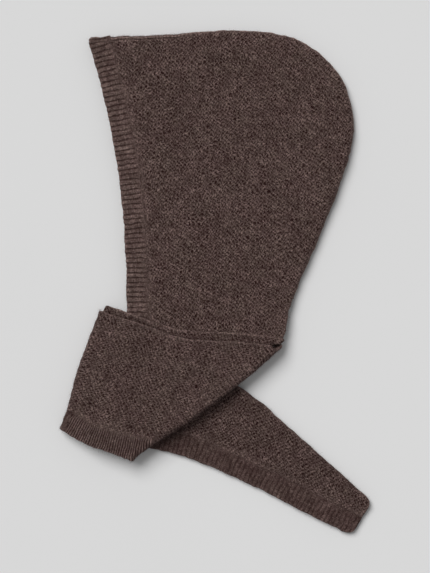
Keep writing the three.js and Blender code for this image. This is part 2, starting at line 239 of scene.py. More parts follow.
neck_front = face_point(0.0)
neck_back = np.array([NECK_WIDTH, NECK_BACK_RISE])
face_top = face_point(FACE_HEIGHT)
outline = Outline([face_top, *(np.array(row) * (HOOD_DEPTH, HOOD_HEIGHT) for row in OUTLINE), neck_back])
crown_way = unit(outline.point(0.1) - face_top)
crown_up = square(crown_way, 1)

fold_front = along(neck_front, NECK_DROP, NECK_ANGLE)
fold_back = along(fold_front, FIRST_FOLD_LENGTH, FIRST_FOLD_ANGLE)
turn_front = along(fold_front, OVER_LENGTH, OVER_ANGLE)
turn_back = along(turn_front, SECOND_FOLD_LENGTH, SECOND_FOLD_ANGLE)
tip_front = along(turn_front, TAIL_LENGTH, TAIL_ANGLE)
tip_back = along(tip_front, TIP_WIDTH, TIP_ANGLE)
fold_way = unit(fold_back - fold_front)
turn_way = unit(turn_back - turn_front)
tip_way = unit(tip_back - tip_front)
fold_out = square(fold_way, -1)
turn_out = square(turn_way, 1)
first_bow = fold_out * FIRST_FOLD_BOW
second_bow = turn_out * SECOND_FOLD_BOW
over_out = square(unit(turn_front - fold_front), 1)
tail_rise = square(unit(tip_front - turn_front), 1)
tail_rise_back = square(unit(tip_back - turn_back), 1)
raise_way = unit(fold_back - turn_back)


class Run:
    """A stretch of the face edge or the tail, with its ribbed and its plain edge.

    The hand is the side of the ribbed edge on which the knit lies.
    """

    def __init__(self, hand, length, rib, plain=None):
        self.hand = hand
        self.length = length
        self.rib = rib
        self.plain = plain

    def way(self, share):
        return unit(self.rib(np.minimum(1, share + 0.01)) - self.rib(np.maximum(0, share - 0.01)))

    def inner(self, share):
        rib = self.rib(share)
        return inset_point(rib, self.way(share), unit(self.plain(share) - rib), INSET)


def arch(share):
    """A bow's height along it: none at its ends, and 1 in the middle."""
    return 4 * share * (1 - share)


def straight(a, b):
    return lambda share: lerp(a, b, column(share))


def curved(a, b, out, rise):
    """The line from a to b, moved outward by a function of the share along it."""
    return lambda share: lerp(a, b, column(share)) + out * column(rise(share))


FACE = Run(1, FACE_HEIGHT - RIM_REACH, lambda share: face_point((FACE_HEIGHT - RIM_REACH) * (1 - share)))
NECK = Run(
    1,
    NECK_DROP,
    straight(neck_front, fold_front),
    lambda share: lerp(neck_back, fold_back, column(lerp(NECK_ROW_SHARE, 1, share))),
)
OVER = Run(
    -1,
    OVER_LENGTH,
    curved(fold_front, turn_front, over_out, lambda share: OVER_BOW * arch(share)),
    straight(fold_back, turn_back),
)
TAIL = Run(
    1,
    TAIL_LENGTH,
    curved(turn_front, tip_front, tail_rise, lambda share: TAIL_LENGTH * from_table(share, 1)),
    curved(turn_back, tip_back, tail_rise_back, lambda share: TAIL_LENGTH * from_table(share, 2)),
)


# Heights of the cloth's middle


def level(layers):
    return THICKNESS / 2 + layers * LAYER_PITCH


def lift_at(points):
    """How far the hood is raised at a point, from 0 on the flat to 1 over the tail beneath."""
    return 1 - smoothstep(cross(raise_way, points - turn_back) - LIFT_CLEARANCE, 0, LIFT_RUN)


def hood_height(half, points):
    lift = lift_at(points)
    apart = lerp(THICKNESS + HOOD_HOLLOW, LAYER_PITCH, lift)
    return level(LAYERS_BENEATH * lift) + (apart if half["side"] > 0 else 0)


def sink_at(points):
    """How far the folded tail has come down past the face edge, from 0 to 1 at the second fold."""
    past = -FACE_CLEARANCE - points[..., 0]
    left = np.maximum(0, cross(turn_way, turn_front - points))
    share = np.where(past > 0, past / np.maximum(past + left, 1e-6), 0)
    return smoothstep(share, 0, 1)


def over_height(half, points):
    return level(lerp(half["over"], half["turned"], sink_at(points)))


def tail_height(half, _points):
    """The tail lies flat, so its height is the same at all points."""
    return level(half["tail"])


class Fold:
    """A fold of the tail: the two layers that it joins, the way along its line and the way out of it.

    The rows go down round it or up.
    """

    def __init__(self, lower, upper, way, out, down):
        self.lower = lower
        self.upper = upper
        self.way = way
        self.out = out
        self.down = down

    def radius(self, half):
        return (half[self.upper] - half[self.lower]) * LAYER_PITCH / 2

    def middle(self, half):
        return level((half[self.upper] + half[self.lower]) / 2)

    def angle(self, share):
        return math.pi * (0.5 - share if self.down else share - 0.5)


FIRST_FOLD = Fold("neck", "over", fold_way, fold_out, False)
SECOND_FOLD = Fold("tail", "turned", turn_way, turn_out, True)


# Unfolded places, on which the stitches lie. Each fold is opened again about its own line.


def mirrored(points, on_line, line_way):
    offset = points - on_line
    return points - 2 * square(line_way, 1) * column(offset @ square(line_way, 1))


opened_turn_out = mirrored(turn_out, np.zeros(2), fold_way)


def opened_over(half, points):
    return mirrored(points, fold_front, fold_way) + fold_out * math.pi * FIRST_FOLD.radius(half)


def opened_tail(half, points):
    over = opened_over(half, mirrored(points, turn_front, turn_way))
    return over + opened_turn_out * math.pi * SECOND_FOLD.radius(half)


def with_third(points, values=0.0):
    """Plan points with a third number at each: a height, or how light the knit is there."""
    return np.concatenate([points, column(np.broadcast_to(values, points.shape[:-1]))], -1)


def edge_facts(edge, join, dark=0.0):
    """What else the shaders read: the ways from a free edge and from the join, and the furrows' darkness,
    which is painted shade and also deepens their bump.
    """
    return np.stack(np.broadcast_arrays(edge, join, dark), -1)


class Lay:
    """Rows of a sheet as it lies.

    They hold its middle points, the way to the outer face, the unfolded place with its lightness, the half
    thickness as a share of the knit's own, and the edge facts.
    """

    def __init__(self):
        self.rows = []

    def add(self, mid, out, place, half_thickness, edges):
        self.rows.append((mid, out, place, half_thickness, edges))

    def add_flat(self, points, heights, face, place, half_thickness, edges):
        mid = with_third(points, heights)
        out = np.zeros_like(mid)
        out[..., 2] = face
        self.add(mid, out, place, half_thickness, edges)

    def add_roll(self, points, axis_height, away, radius, angle, outward, place, half_thickness, edges):
        """Rows bent round an axis, each at its own angle."""
        angle = column(angle)
        arm = with_third(away * np.cos(angle)[..., None] * np.ones_like(points), np.sin(angle))
        self.add(with_third(points, axis_height) + arm * radius, arm * outward, place, half_thickness, edges)

    def add_fold(self, fold, half, share, points, place, half_thickness, edges):
        radius = fold.radius(half)
        angle = fold.angle(share)
        outward = -half["side"]
        axis_height = fold.middle(half)
        self.add_roll(points, axis_height, fold.out, radius, angle, outward, place, half_thickness, edges)

    def joined(self):
        return [np.concatenate(part) for part in zip(*self.rows)]


def rounded(distance, reach=THICKNESS / 2):
    """Half the knit's thickness at a distance from a cut edge, as a share of the whole half."""
    return np.sqrt(np.clip(1 - (1 - np.minimum(distance, reach) / reach) ** 2, 0, 1))


def upright(distance):
    """The same where an edge is knitted to the next piece, and ends square."""
    return np.clip(distance / SQUARE_RUN, 0, 1)


def corner_cut(radius, to_end):
    """How far a rounded corner lies in from a square one, at a distance from the end."""
    past = np.clip(radius - to_end, 0, radius)
    return radius - np.sqrt(radius**2 - past**2)


# Hood sides with their tails

# Rows and columns of the fine sheets
FLAT_COLUMNS = 78
RIM_COLUMNS = 9
HOOD_ROWS = 236
JOIN_ROWS = 8
NECK_ROWS = 46
FOLD_ROWS = 15
OVER_ROWS = 52
TAIL_ROWS = 118
TIP_ROWS = 11


def across_reaches(split, end):
    """Distances from the ribbing along each row: close at both edges, even between."""
    start = np.array([0.0, SQUARE_RUN, 0.6])
    flat = lerp(start[-1], column(split), np.linspace(0, 1, FLAT_COLUMNS + 1)[1:])
    last = column(end) - EDGE_STEPS[::-1]
    rim = lerp(column(split), last[:, :1], np.linspace(0, 1, RIM_COLUMNS + 1)[1:-1])
    return np.concatenate([np.tile(start, (len(flat), 1)), flat, rim, last], 1)


def row_start(share):
    """Where the hood's rows leave the ribbing, from beneath its crown end down to the raised part."""
    reach = (INSET - turn_back[0]) / raise_way[0]
    lowest = turn_back[1] + raise_way[1] * reach + LIFT_CLEARANCE / raise_way[0]
    height = lerp(FACE_HEIGHT - FAN_START, lowest, share**FAN_LAG)
    return face_point(height) + square(face_way(height), 1) * INSET


rim_top = face_point(FACE_HEIGHT - RIM_REACH)
band_top_inner = inset_point(rim_top, face_way(FACE_HEIGHT), crown_way, BAND_WIDTH)
panel_start = band_top_inner + crown_up * RIM_REACH + crown_way * JOIN_GAP
start_share = np.linalg.norm(panel_start - face_top) / outline.length

# The free edges roll up: how much of the knit's half thickness they gain, and over what width
LIP_GROWTH = 0.75
LIP_WIDTH = 3.4
TAIL_LIP_SHARE = 0.35  # how much of that the tail's edge gains
TAIL_LIGHT = -0.12  # the tail is drawn a little darker
LIP_HIGHLIGHT = 0.36  # how much lighter the lip is on the folded tail, a painted highlight on its rolled edge
LIP_SHADE = 0.6  # painted shade: how dark the lower layer is beside the upper one's edge
LIP_SHADE_WIDTH = 1.2

# On the front of the crown the seam lies rolled a little over on the near side.
SEAM_ROLL = math.radians(52)
SEAM_ROLL_START = 12.0
SEAM_ROLL_END = 88.0
SEAM_ROLL_FADE = 40.0


def seam_roll(points):
    """The seam's angle above the hood's middle plane."""
    x = points[..., 0]
    rise = smoothstep(x, band_top_inner[0] - SEAM_ROLL_START, band_top_inner[0] + 2)
    return SEAM_ROLL * rise * (1 - smoothstep(x, SEAM_ROLL_END - SEAM_ROLL_FADE, SEAM_ROLL_END))


def fully_curled(curl):
    return curl > RIM_ANGLE * 0.999


def hood_rims(share):
    """The axis of the curled rim at each row, the way out of it, and the angle that it curls through."""
    outline_share = lerp(start_share, 1, share)
    end = outline.point(outline_share)
    away = outline.out(outline_share)
    curl = RIM_ANGLE * (1 - lift_at(end)) ** 2
    advance = RIM_LENGTH * np.sinc(curl / math.pi)
    axis = end - away * column(advance + THICKNESS / 2 * np.sin(curl))
    return axis, away, curl


def add_hood(lay, half):
    """Rows from the ribbing to the crown and back, where they curl round to the seam."""
    side = half["side"]
    first = np.array([0.0, SQUARE_RUN, *EDGE_STEPS[3:]]) / outline.length
    share = np.concatenate([first, np.linspace(0.004, 1, HOOD_ROWS)])
    inner = row_start(share)
    axis, away, curl = hood_rims(share)
    length = np.linalg.norm(axis - inner, axis=1)
    rolled = 1 - side * seam_roll(axis) / RIM_ANGLE * fully_curled(curl)
    end = length + RIM_LENGTH * rolled
    reaches = across_reaches(length, end)
    flat_reach = np.minimum(reaches, column(length))
    points = inner[:, None] + unit(axis - inner)[:, None] * flat_reach[..., None]
    past = (reaches - flat_reach)[..., None]
    place = with_third(points + away[:, None] * past)
    to_edge = column(end) - reaches
    radius = RIM_LENGTH / np.maximum(curl, 1e-6)[:, None, None]
    angle = past / radius
    heights = hood_height(half, points) - side * (radius * (1 - np.cos(angle)))[..., 0]
    mid = with_third(points + away[:, None] * radius * np.sin(angle), heights)
    out = np.concatenate([away[:, None] * np.sin(angle), side * np.cos(angle)], -1)
    half_thickness = upright(reaches) * rounded(to_edge) * upright(share * outline.length)[:, None]
    lay.add(mid, out, place, half_thickness, edge_facts(to_edge, reaches))


def run_line(half, inner, plain, far_step, bow=(0.0, 0.0), cut=0.0):
    """Rows from the ribbing to the tail's plain edge: their points, edge facts and half thickness."""
    full = np.linalg.norm(plain - inner, axis=1)
    far_step = np.broadcast_to(far_step, len(full)) + cut
    short = np.broadcast_to(cut, len(full)) if half["side"] > 0 else far_step
    end = full - short
    reaches = across_reaches(full - far_step - RIM_LENGTH, end)
    share = reaches / column(full)
    points = inner[:, None] + (plain - inner)[:, None] * share[..., None]
    points = points + np.asarray(bow)[..., None, :] * arch(share)[..., None]
    to_edge = column(end) - reaches
    return points, edge_facts(to_edge, reaches), upright(reaches) * rounded(to_edge)


def lip(edges):
    """How much thicker the knit is at a free edge, where it rolls up a little."""
    return LIP_GROWTH * np.exp(-((edges[..., 0] / LIP_WIDTH) ** 2))


def add_join(lay, half):
    """The rows between the hood's last row and the first that crosses the neck."""
    share = np.linspace(0, 1, JOIN_ROWS + 2)[1:-1]
    heights = row_start(1.0)[1] * (1 - share)
    inner = face_point(heights) + square(face_way(heights), 1) * INSET
    inner = lerp(inner, NECK.inner(0.0), column(share))
    plain = lerp(neck_back, NECK.plain(0.0), column(share))
    points, edges, thick = run_line(half, inner, plain, 0.0)
    lay.add_flat(points, hood_height(half, points), half["side"], with_third(points), thick, edges)


# How far the two halves' plain edges lie in from the straight line between the folds: share along the
# folded tail, near half, far half
OVER_EDGES = np.array([
    (0, 0, 12), (0.1, 0.8, 12.5), (0.21, 2.5, 14.5), (0.3, 5, 17), (0.4, 8.5, 19.5), (0.48, 10.7, 20.5),
    (0.57, 11.5, 19), (0.69, 9, 14.5), (0.8, 5, 11.5), (0.89, 2.4, 9.6), (1, 0, 8),
])

# At the back end of the first fold the inner layer is drawn in, and a dark gap opens beside it.
HOLE_STEP = 5.0  # the far half's lower layer stays this much short there
DENT_DEPTH = 4.5
DENT_PLACE = 190.0
DENT_WIDTH = 5.0
DENT_REACH = 16.0


def dented(half, points):
    if half["side"] < 0:
        return points
    offset = points - fold_front
    place, out = offset @ fold_way, offset @ fold_out
    share = np.exp(-(((place - DENT_PLACE) / DENT_WIDTH) ** 2)) * smoothstep(out, -DENT_REACH, 0)
    return points - fold_out * (DENT_DEPTH * share)[..., None]


def add_neck(lay, half):
    share = np.linspace(0, 1, NECK_ROWS)[:-1]
    step = (FAR_STEP_NECK if half["side"] > 0 else HOLE_STEP) * share
    bow = first_bow * column(share)
    points, edges, thick = run_line(half, NECK.inner(share), NECK.plain(share), step, bow)
    points = dented(half, points)
    lay.add_flat(points, level(half["neck"]), half["side"], with_third(points), thick, edges)


def add_first_fold(lay, half):
    share = np.linspace(0, 1, FOLD_ROWS)
    inner = lerp(NECK.inner(1.0), OVER.inner(0.0), column(share))
    plain = np.broadcast_to(OVER.plain(0.0), inner.shape)
    far_step = lerp(HOLE_STEP, FAR_STEP_NECK, smoothstep(share, 0.3, 0.95))
    step = FAR_STEP_NECK if half["side"] > 0 else far_step
    points, edges, thick = run_line(half, inner, plain, step, first_bow)
    points = dented(half, points)
    arc = math.pi * FIRST_FOLD.radius(half) * share
    place = with_third(points + fold_out * arc[:, None, None])
    lay.add_fold(FIRST_FOLD, half, share, points, place, thick, edges)


def add_over(lay, half):
    """The tail's stretch that lies folded up over the neck."""
    side = half["side"]
    share = np.linspace(0, 1, OVER_ROWS)[1:-1]
    near_cut, far_step = (np.interp(share, OVER_EDGES[:, 0], OVER_EDGES[:, i]) for i in (1, 2))
    cut = near_cut if side > 0 else 0.0
    bow = lerp(first_bow, second_bow, column(share))
    points, edges, thick = run_line(half, OVER.inner(share), OVER.plain(share), far_step - cut, bow, cut)
    points = dented(half, points)
    growth = lip(edges) * smoothstep(share, 0.0, 0.15)[:, None]
    # The lip's painted highlight and the painted shade beside the upper layer's edge go into the knit's
    # lightness.
    past_upper = edges[..., 0] - column(far_step - near_cut) + 1.0
    shaded = np.exp(-((past_upper / LIP_SHADE_WIDTH) ** 2)) * (side > 0)
    lit = smoothstep(edges[..., 0], 3.6, 0.8)
    place = with_third(opened_over(half, points), LIP_HIGHLIGHT * lit - LIP_SHADE * shaded)
    heights = over_height(half, points) + growth * THICKNESS / 2
    lay.add_flat(points, heights, -side, place, thick * (1 + growth), edges)


def add_second_fold(lay, half):
    share = np.linspace(0, 1, FOLD_ROWS)
    inner = lerp(OVER.inner(1.0), TAIL.inner(0.0), column(share))
    plain = np.broadcast_to(TAIL.plain(0.0), inner.shape)
    points, edges, thick = run_line(half, inner, plain, FAR_STEP_TURN, second_bow)
    arc = math.pi * SECOND_FOLD.radius(half) * share
    place = with_third(opened_over(half, points) + opened_turn_out * arc[:, None, None])
    lay.add_fold(SECOND_FOLD, half, share, points, place, thick, edges)


def add_tail(lay, half):
    """The tail's last stretch, with its rounded tip."""
    body = TAIL_LENGTH - TIP_RADIUS
    tip = TIP_RADIUS * np.sin(np.linspace(0.1, math.pi / 2, TIP_ROWS))
    distance = np.concatenate([np.linspace(0, body, TAIL_ROWS)[1:], body + tip])
    share = distance / TAIL_LENGTH
    to_end = TAIL_LENGTH - distance
    bow = second_bow * column(np.clip(1 - distance / body, 0, 1))
    far_step = lerp(FAR_STEP_TURN, FAR_STEP_TIP, share)
    cut = corner_cut(TIP_RADIUS, to_end)
    points, edges, thick = run_line(half, TAIL.inner(share), TAIL.plain(share), far_step, bow, cut)
    thick = thick * rounded(to_end)[:, None]
    growth = TAIL_LIP_SHARE * lip(edges) * smoothstep(share, 0.03, 0.2)[:, None] * (half["side"] > 0)
    heights = tail_height(half, points) + growth * THICKNESS / 2
    place = with_third(opened_tail(half, points), TAIL_LIGHT)
    lay.add_flat(points, heights, half["side"], place, thick * (1 + growth), edges)


def panel_lay(half):
    lay = Lay()
    for add_stretch in (add_hood, add_join, add_neck, add_first_fold, add_over, add_second_fold, add_tail):
        add_stretch(lay, half)
    return lay.joined()


# Ribbing

BAND_COLUMNS = np.concatenate([[0.0, 0.2, 0.55, 1.1], np.linspace(2.0, 21.2, 21), [21.95, 22.0]])
RIB_STEPS = 6
FOLD_FINENESS = 1.5  # a fold has this many times the rows for its length
CURL_ROWS = 12
EDGE_SCALLOP = 0.7  # how far the crests stand out at the free edge
CROWN_STEP = 2.2  # the ribbing's crown end stands this much proud of the seam


class Ribs:
    """The ribs of one stretch.

    They have a number to each rib pitch, their furrows' depth as a share of the full one, the furrows'
    darkness, which is painted shade and also deepens their bump, and a lightness that is higher where the
    ribbing lies pulled open.
    """

    def __init__(self, rate, depth_share, dark, light):
        self.rate = rate
        self.depth_share = depth_share
        self.dark = dark
        self.light = light


OPEN_RIBS = Ribs(1, 1, 1.0, 0.33)
FINE_RIBS = Ribs(2, 0.6, 3.2, 0.4)
TAIL_RIBS = Ribs(1.08, 0.4, 0.6, -0.15)


def rib_relief(turns, depth):
    """Half thickness over the ribs, as a share: round crests with narrow furrows between."""
    crest = np.abs(np.cos(math.pi * turns)) ** 0.7
    fade = smoothstep(BAND_WIDTH - BAND_COLUMNS, -0.5, 4.0) * 0.75 + 0.25
    half_thickness = 1 - depth / (THICKNESS / 2) * (1 - crest) * fade
    return half_thickness * rounded(BAND_COLUMNS) * upright(BAND_WIDTH - BAND_COLUMNS), crest


def band_place(turns, ribs):
    """The unfolded place on a band, counted in ribs along it, and its edge facts."""
    across = np.broadcast_to(BAND_COLUMNS, turns.shape)
    place = np.stack([turns, across, np.full_like(turns, ribs.light)], -1)
    return place, edge_facts(across, BAND_WIDTH - across, ribs.dark)


def across_band(outer, inner):
    return lerp(outer[:, None], inner[:, None], column(BAND_COLUMNS / BAND_WIDTH))


class Band:
    """One half's ribbing, laid stretch by stretch while its ribs are counted."""

    def __init__(self, half, depth):
        self.lay = Lay()
        self.half = half
        self.depth = depth
        self.turns = 0.0

    def add_crown(self, ribs):
        """The end at the crown, which curls round toward the other half's."""
        angle = np.linspace(math.pi / 2 - RIM_ANGLE, math.pi / 2, CURL_ROWS, endpoint=False)
        turns = column(RIM_RADIUS * (angle - math.pi / 2) / RIB_PITCH) + np.zeros(len(BAND_COLUMNS))
        thick, _ = rib_relief(turns, self.depth * ribs.depth_share)
        thick = thick * rounded(RIM_RADIUS * (angle - angle[0]))[:, None]
        proud = CROWN_STEP * smoothstep(BAND_COLUMNS, 4.0, 20.0) * column(np.cos(angle))
        edge = lerp(rim_top, band_top_inner, column(BAND_COLUMNS / BAND_WIDTH))
        points = edge + crown_up * proud[..., None]
        place, edges = band_place(turns, ribs)
        middle = level(0) + RIM_RADIUS
        angle = angle * self.half["side"]
        self.lay.add_roll(points, middle, crown_up, RIM_RADIUS, angle, 1, place, thick, edges)

    def add_run(self, run, heights, start_way, end_way, ribs, first=1, tip=0.0):
        """A flat stretch. Its ribs stand square to the edge, and lean to the given ways near its ends."""
        steps = max(1, round(run.length / RIB_PITCH)) * RIB_STEPS
        share = np.arange(first, steps + 1 if tip else steps) / steps
        edge = run.rib(share)
        edge_way = run.way(share)
        distance = share * run.length
        to_end = run.length - distance
        way = lerp(start_way, square(edge_way, run.hand), column(smoothstep(distance, 0, LEAN_RUN)))
        way = unit(lerp(end_way, way, column(smoothstep(to_end, 0, LEAN_RUN))))
        outer = edge + way * column(corner_cut(tip, to_end))
        points = across_band(outer, inset_point(edge, edge_way, way, BAND_WIDTH))
        slant = ((points - edge[:, None]) * edge_way[:, None]).sum(-1)
        turns = self.turns + (column(distance) + slant) * ribs.rate / RIB_PITCH
        depth = self.depth * ribs.depth_share
        thick, crest = rib_relief(turns, depth)
        scallop = EDGE_SCALLOP * depth * (crest - 0.5) * (1 - np.minimum(BAND_COLUMNS / 3, 1))
        points = points - way[:, None] * scallop[..., None]
        if tip:
            thick = thick * rounded(to_end)[:, None]
        place, edges = band_place(turns, ribs)
        face = self.half["side"] * run.hand
        self.lay.add_flat(points, heights(self.half, points), face, place, thick, edges)
        self.turns += run.length * ribs.rate / RIB_PITCH

    def add_fold(self, fold, before, after, ribs):
        length = math.pi * fold.radius(self.half)
        steps = max(6, round(length / RIB_PITCH * RIB_STEPS * FOLD_FINENESS))
        share = np.linspace(0, 1, steps + 1)
        start, end = (
            inset_point(run.rib(place), run.way(place), fold.way, BAND_WIDTH)
            for run, place in ((before, 1.0), (after, 0.0))
        )
        inner = lerp(start, end, column(share))
        outer = np.broadcast_to(after.rib(0.0), inner.shape)
        points = across_band(outer, inner)
        along_line = ((points - outer[:, None]) * fold.way).sum(-1) * (fold.way @ after.way(0.0))
        arc = length * share * abs(fold.out @ after.way(0.0))
        turns = self.turns + (column(arc) + along_line) * ribs.rate / RIB_PITCH
        thick, _ = rib_relief(turns, self.depth * ribs.depth_share)
        place, edges = band_place(turns, ribs)
        self.lay.add_fold(fold, self.half, share, points, place, thick, edges)
        self.turns += arc[-1] * ribs.rate / RIB_PITCH


def band_lay(half, depth):
    band = Band(half, depth)
    neck_way = square(face_way(0.0), 1)
    band.add_crown(OPEN_RIBS)
    band.add_run(FACE, hood_height, crown_way, neck_way, OPEN_RIBS, first=0)
    band.add_run(NECK, hood_height, neck_way, fold_way, OPEN_RIBS, first=0)
    band.add_fold(FIRST_FOLD, NECK, OVER, FINE_RIBS)
    band.add_run(OVER, over_height, fold_way, turn_way, FINE_RIBS)
    band.add_fold(SECOND_FOLD, OVER, TAIL, TAIL_RIBS)
    band.add_run(TAIL, tail_height, turn_way, tip_way, TAIL_RIBS, tip=TIP_RADIUS)
    return band.lay.joined()


# Seam

SEAM_ROWS = 700
SEAM_BAND_ROWS = 24  # of its stations, those across the ribbing's crown end
SEAM_SIDES = 12
SEAM_INSET = 0.3  # how far the seam's inner side stays off the cloth's inner face
SEAM_END = 1.2  # its ends round over within this length
# The seam is lighter, partly its own colour and partly painted light against the shade along the rim; its
# dark is painted shade between its links.
SEAM_LIGHT = 0.85
SEAM_DARK = 0.6


def seam_line():
    """Stations along the seam: its axis, the way out, its roll, and the distance run."""
    axis, away, curl = hood_rims(np.linspace(0, 1, SEAM_ROWS))
    kept = fully_curled(curl)
    band = lerp(rim_top, band_top_inner, column(np.linspace(0.04, 0.98, SEAM_BAND_ROWS)))
    axis = np.vstack([band, axis[kept]])
    away = np.vstack([np.broadcast_to(crown_up, band.shape), away[kept]])
    run = np.concatenate([[0], np.cumsum(np.linalg.norm(np.diff(axis, axis=0), axis=1))])
    return axis, away, seam_roll(axis), run


def seam_grid(looks):
    """The seam as a closed tube, a little wider at each link, with its place and edge facts."""
    axis, away, roll, run = seam_line()
    around = np.linspace(0, 2 * math.pi, SEAM_SIDES + 1)
    inside, outside = RIM_RADIUS - THICKNESS / 2 + SEAM_INSET, RIM_RADIUS + THICKNESS / 2 + SEAM_PROUD
    size = rounded(np.minimum(run, run[-1] - run), SEAM_END)
    link = 0.89 + 0.07 * np.cos(2 * math.pi * run / looks.stitch_width)
    radial = (outside + inside) / 2 + column((outside - inside) / 2 * size) * np.cos(around)
    raised = column(SEAM_HEIGHT / 2 * size * link) * np.sin(around)
    out = radial * column(np.cos(roll)) - raised * column(np.sin(roll))
    up = radial * column(np.sin(roll)) + raised * column(np.cos(roll))
    points = with_third(axis[:, None] + away[:, None] * out[..., None], up + level(0) + RIM_RADIUS)
    place = np.stack(np.broadcast_arrays(column(run / looks.stitch_width), around * 1.2, SEAM_LIGHT), -1)
    edges = np.broadcast_to(edge_facts(2.0, 4.0, SEAM_DARK), place.shape)
    return grid_mesh(in_frame(settled(points, looks.swell)), {"knit_place": place, "knit_edges": edges})


# Soft unevenness of the laid cloth

HILLS_ACROSS = 128  # then the same hills come again


class Hills:
    """Smooth random hills over the plan, from -1 to 1, the same on each run."""

    def __init__(self, spacing, seed):
        self.spacing = spacing
        self.values = np.random.default_rng(seed).uniform(-1, 1, (HILLS_ACROSS, HILLS_ACROSS))

    def value(self, cell):
        return self.values[cell[..., 0] % HILLS_ACROSS, cell[..., 1] % HILLS_ACROSS]

    def __call__(self, points):
        cell = points[..., :2] / self.spacing
        start = np.floor(cell).astype(int)
        share = smoothstep(cell - start, 0, 1)
        low, high = (
            lerp(self.value(start + (i, 0)), self.value(start + (i, 1)), share[..., 1]) for i in (0, 1)
        )
        return lerp(low, high, share[..., 0])


BROAD_HILLS = Hills(38.0, 3)
SMALL_HILLS = Hills(13.0, 4)
PUSHES = [(Hills(13.0, 5), Hills(13.0, 6), 0.45), (Hills(4.6, 7), Hills(4.6, 8), 0.5)]
# The ribbing's folded corner sags outward: how far, and over what distance
CORNER_MIDDLE = fold_front + np.array([-2.1, 0.0])
CORNER_SAG = 3.8
CORNER_REACH = 7.0
PUFF = 3.5  # how far the folded tail stands up off the layers beneath it, toward its ribbed end


def puff_at(points):
    """The share of that rise at a point: all of it at the ribbing, none at the first fold's back end."""
    place = (points[..., :2] - fold_front) @ fold_way / FIRST_FOLD_LENGTH
    high = smoothstep(points[..., 2], level(1.6), level(4.2))
    return high * (1 - smoothstep(place, 0.45, 1.0)) * smoothstep(points[..., 1], 12.0, -12.0)


def settled(mid, swell):
    """The same points with the cloth's swell, its puff and sag, and the wander of its stitches added."""
    out = mid.copy()
    share = np.clip(mid[..., 2] / level(5), 0, 1)
    rise = 0.5 + 0.5 * BROAD_HILLS(mid) + 0.2 * SMALL_HILLS(mid)
    out[..., 2] += swell * share * np.maximum(rise, 0) + PUFF * puff_at(mid)
    for push_x, push_y, amount in PUSHES:
        out[..., 0] += amount * push_x(mid)
        out[..., 1] += amount * push_y(mid)
    away = np.linalg.norm(mid[..., :2] - CORNER_MIDDLE, axis=-1)
    out[..., :2] += over_out * CORNER_SAG * column(np.exp(-((away / CORNER_REACH) ** 2)))
    return out


def in_frame(points):
    return (points + np.array([ORIGIN[0], ORIGIN[1], 0.0])) * MM


# Meshes

WELD = 1e-7


def flat_grid(name, across, down, size):
    shape = bmesh.new()
    bmesh.ops.create_grid(shape, x_segments=across, y_segments=down, size=size)
    mesh = bpy.data.meshes.new(name)
    shape.to_mesh(mesh)
    shape.free()
    return mesh


def grid_mesh(points, attributes):
    """A grid bent through rows and columns of points, which carries named values at each of them."""
    rows, columns = points.shape[:2]
    mesh = flat_grid("grid", columns - 1, rows - 1, 1.0)
    places = np.empty(len(mesh.vertices) * 3)
    mesh.vertices.foreach_get("co", places)
    shares = (places.reshape(-1, 3) + 1) / 2
    across = np.rint(shares[:, 0] * (columns - 1)).astype(int)
    down = np.rint(shares[:, 1] * (rows - 1)).astype(int)
    mesh.vertices.foreach_set("co", points[down, across].ravel())
    for label, values in attributes.items():
        layer = mesh.attributes.new(label, "FLOAT_VECTOR", "POINT")
        layer.data.foreach_set("vector", values[down, across].ravel())
    return mesh


def welded(name, grids):
    """One closed smooth mesh of grids that meet at their edges, with its faces outward."""
    shape = bmesh.new()
    for grid in grids:
        shape.from_mesh(grid)
        bpy.data.meshes.remove(grid)
    bmesh.ops.remove_doubles(shape, verts=shape.verts, dist=WELD)
    bmesh.ops.recalc_face_normals(shape, faces=shape.faces)
    if shape.calc_volume(signed=True) < 0:
        bmesh.ops.reverse_faces(shape, faces=shape.faces)
    mesh = bpy.data.meshes.new(name)
    shape.to_mesh(mesh)
    shape.free()
    mesh.shade_smooth()
    return mesh


def linked(name, data):
    """A new object in the scene with this data."""
    item = bpy.data.objects.new(name, data)
    bpy.context.scene.collection.objects.link(item)
    return item


def placed(name, mesh, material):
    piece = linked(name, mesh)
    mesh.materials.append(material)
    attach(piece, BODY)
    return piece


def faces_of(lay, swell):
    """The outer and the inner face of a laid sheet, in the frame."""
    mid, out, _, half_thickness, _ = lay
    mid = settled(mid, swell)
    reach = out * column(half_thickness * THICKNESS / 2)
    return in_frame(mid + reach), in_frame(mid - reach)


def sheet_piece(name, lay, swell, material):
    attributes = {"knit_place": lay[2], "knit_edges": lay[4]}
    grids = [grid_mesh(points, attributes) for points in faces_of(lay, swell)]
    return placed(name, welded(name, grids), material)


# Shaders


class Value:
    """A number or a vector that varies over a surface. Arithmetic on it adds Math nodes."""

    def __init__(self, shader, socket):
        self.shader = shader
        self.socket = socket

    def math(self, operation, *others):
        return self.shader.node("ShaderNodeMath", {"operation": operation}, [self, *others])

    def __add__(self, other):
        return self.math("ADD", other)

    def __radd__(self, other):
        return self.math("ADD", other)

    def __sub__(self, other):
        return self.math("SUBTRACT", other)

    def __rsub__(self, other):
        return self.shader.node("ShaderNodeMath", {"operation": "SUBTRACT"}, [other, self])

    def __mul__(self, other):
        return self.math("MULTIPLY", other)

    def __rmul__(self, other):
        return self.math("MULTIPLY", other)

    def wave(self):
        """A cosine that goes round once from each whole number to the next."""
        return (self * (2 * math.pi)).math("COSINE")


